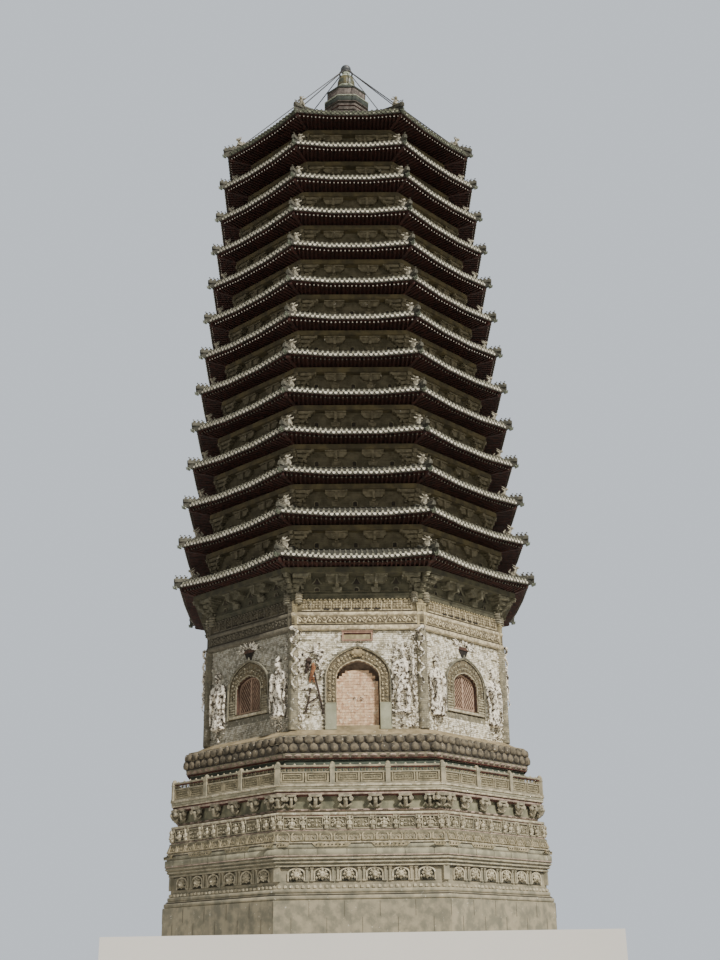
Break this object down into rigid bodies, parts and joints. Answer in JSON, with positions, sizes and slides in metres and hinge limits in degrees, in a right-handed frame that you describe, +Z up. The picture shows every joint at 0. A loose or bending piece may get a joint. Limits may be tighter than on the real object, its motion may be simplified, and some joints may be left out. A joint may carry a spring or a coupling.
{
  "type": "scale model (1:10) of an octagonal dense-eave brick pagoda",
  "caption": "Octagonal brick pagoda on a carved stone base: one tall storey with blind doors and windows, close-set tiled eaves above it, and a finial held by chains. Scale model at 1:10.",
  "frame": {"origin": "centre of the base on the ground", "axes": "+Z up; -Y is the front, with a blind door"},
  "size_m": [1.7438, 1.7438, 5],
  "materials": {
    "base_stone": "weathered carved grey-green brick and stone",
    "wall_brick": "pale lime-worn fired brick",
    "carved_frieze": "yellowish carved brick",
    "door_infill": "reddish fired brick with a carved surround",
    "window_lattice": "old red-brown paint",
    "rafter_timber": "dark red-brown weathered timber",
    "roof_tile": "unglazed grey-green fired tile",
    "finial_stone": "weathered brick and stone",
    "finial_gilt": "worn gilding over green patina",
    "chain_iron": "weathered iron"
  },
  "bodies": {
    "root": {"platform": "base_stone", "lower_waist": "base_stone", "upper_waist": "base_stone", "balcony": "base_stone", "balustrade": "base_stone", "lotus_throne": "base_stone", "main_wall": "wall_brick", "door_front": "door_infill", "door_right": "door_infill", "door_back": "door_infill", "door_left": "door_infill", "window_front_right": "window_lattice", "window_back_right": "window_lattice", "window_back_left": "window_lattice", "window_front_left": "window_lattice", "frieze": "carved_frieze", "storey_01": "wall_brick", "rafters_01": "rafter_timber", "roof_01": "roof_tile", "storey_02": "wall_brick", "rafters_02": "rafter_timber", "roof_02": "roof_tile", "storey_03": "wall_brick", "rafters_03": "rafter_timber", "roof_03": "roof_tile", "storey_04": "wall_brick", "rafters_04": "rafter_timber", "roof_04": "roof_tile", "storey_05": "wall_brick", "rafters_05": "rafter_timber", "roof_05": "roof_tile", "storey_06": "wall_brick", "rafters_06": "rafter_timber", "roof_06": "roof_tile", "storey_07": "wall_brick", "rafters_07": "rafter_timber", "roof_07": "roof_tile", "storey_08": "wall_brick", "rafters_08": "rafter_timber", "roof_08": "roof_tile", "storey_09": "wall_brick", "rafters_09": "rafter_timber", "roof_09": "roof_tile", "storey_10": "wall_brick", "rafters_10": "rafter_timber", "roof_10": "roof_tile", "storey_11": "wall_brick", "rafters_11": "rafter_timber", "roof_11": "roof_tile", "storey_12": "wall_brick", "rafters_12": "rafter_timber", "roof_12": "roof_tile", "storey_13": "wall_brick", "rafters_13": "rafter_timber", "roof_13": "roof_tile", "finial_base": "finial_stone", "finial_bulb": "finial_gilt", "finial_chains": "chain_iron"}
  },
  "joints": []
}
